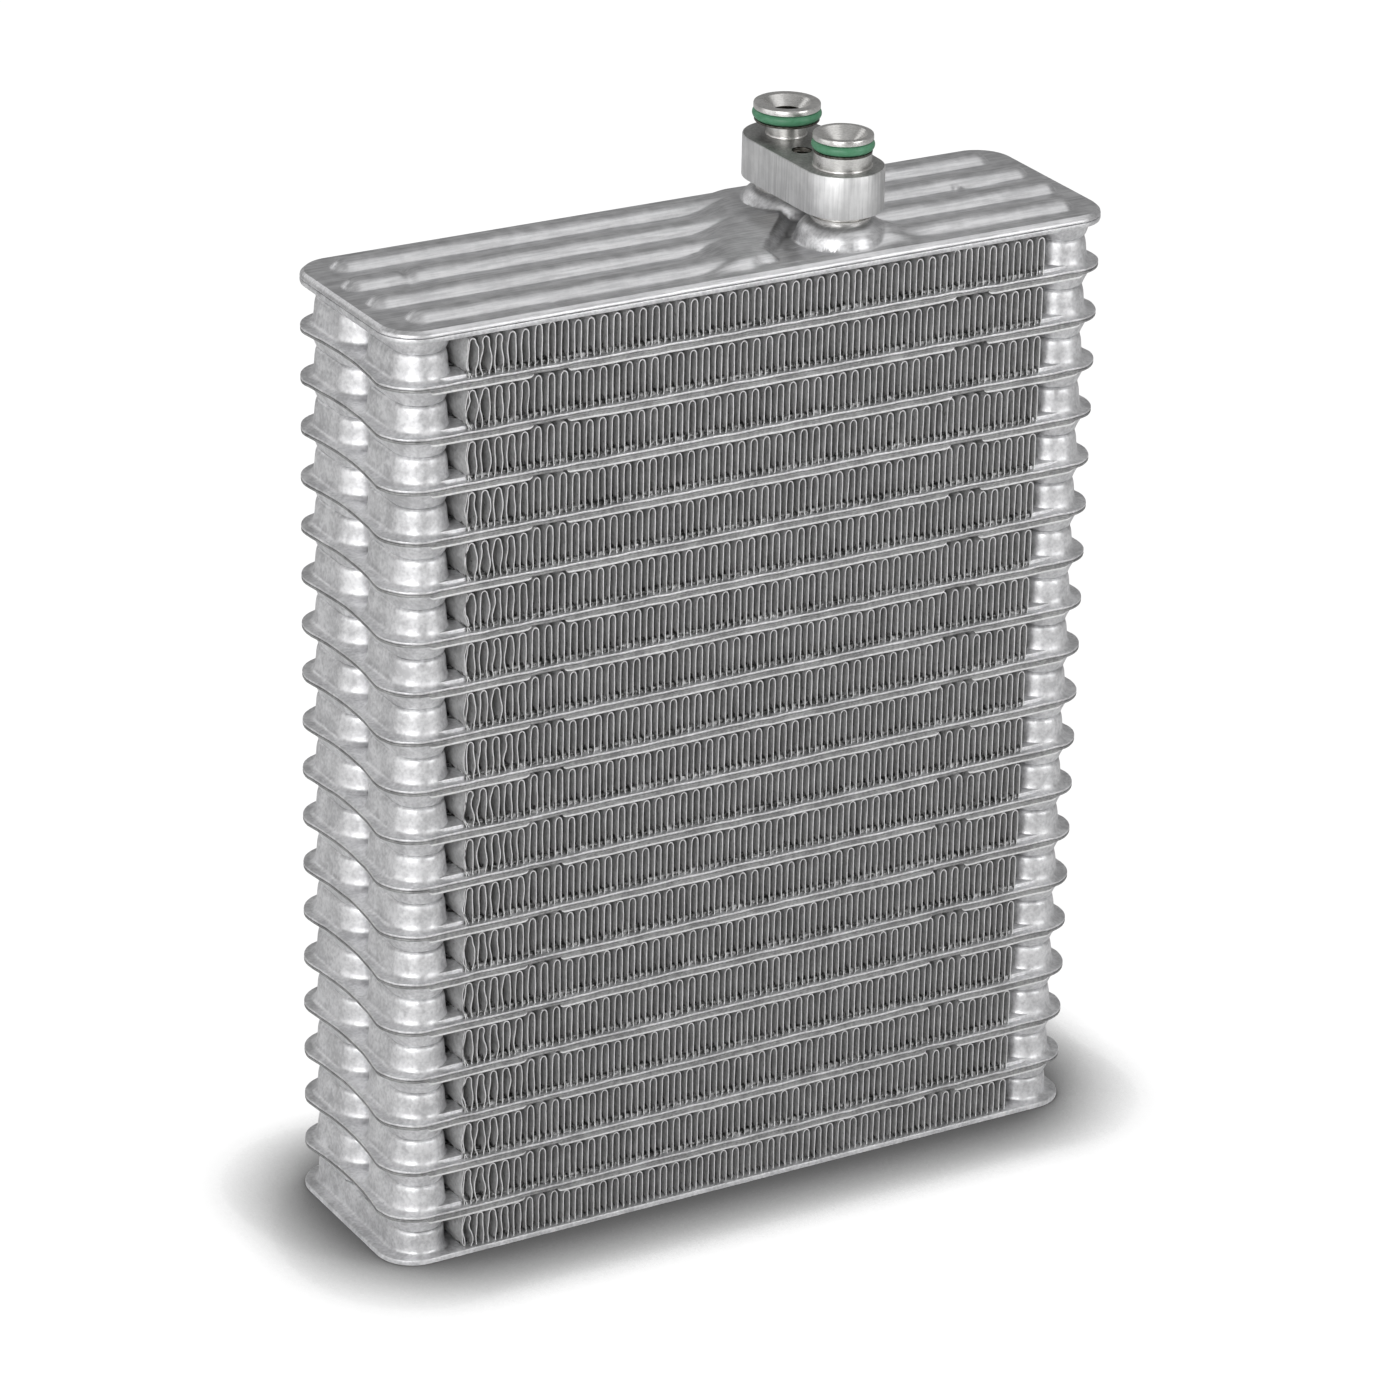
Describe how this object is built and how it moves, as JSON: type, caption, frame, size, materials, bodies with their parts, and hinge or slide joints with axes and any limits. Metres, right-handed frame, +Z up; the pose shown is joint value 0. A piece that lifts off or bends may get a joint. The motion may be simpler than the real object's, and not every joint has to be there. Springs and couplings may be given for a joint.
{
  "type": "evaporator core",
  "caption": "Laminated aluminium evaporator core with corrugated fins between stamped tubes, cup tanks at both ends and a spigot block on its ribbed cover.",
  "frame": {"origin": "middle of the underside of the bottom end plate", "axes": "+Z up through the stack towards the spigots, +X along the plates, -Y is the front face that the picture shows"},
  "size_m": [0.201, 0.058, 0.2756],
  "materials": {
    "tube_plate": "satin, mottled brazed aluminium",
    "end_plate": "satin, mottled brazed aluminium",
    "fin_foil": "satin thin foil",
    "block_metal": "machined from extruded bar",
    "ring_rubber": "smooth green rubber"
  },
  "bodies": {
    "root": {"tube_01": "tube_plate", "tube_02": "tube_plate", "tube_03": "tube_plate", "tube_04": "tube_plate", "tube_05": "tube_plate", "tube_06": "tube_plate", "tube_07": "tube_plate", "tube_08": "tube_plate", "tube_09": "tube_plate", "tube_10": "tube_plate", "tube_11": "tube_plate", "tube_12": "tube_plate", "tube_13": "tube_plate", "tube_14": "tube_plate", "tube_15": "tube_plate", "tube_16": "tube_plate", "tube_17": "tube_plate", "tube_18": "tube_plate", "fin_01": "fin_foil", "fin_02": "fin_foil", "fin_03": "fin_foil", "fin_04": "fin_foil", "fin_05": "fin_foil", "fin_06": "fin_foil", "fin_07": "fin_foil", "fin_08": "fin_foil", "fin_09": "fin_foil", "fin_10": "fin_foil", "fin_11": "fin_foil", "fin_12": "fin_foil", "fin_13": "fin_foil", "fin_14": "fin_foil", "fin_15": "fin_foil", "fin_16": "fin_foil", "fin_17": "fin_foil", "fin_18": "fin_foil", "fin_19": "fin_foil", "bottom_end_plate": "end_plate", "top_tank_plate": "end_plate", "top_cover": "end_plate", "connector_block": "block_metal", "ring_small": "ring_rubber", "ring_large": "ring_rubber"}
  },
  "joints": []
}
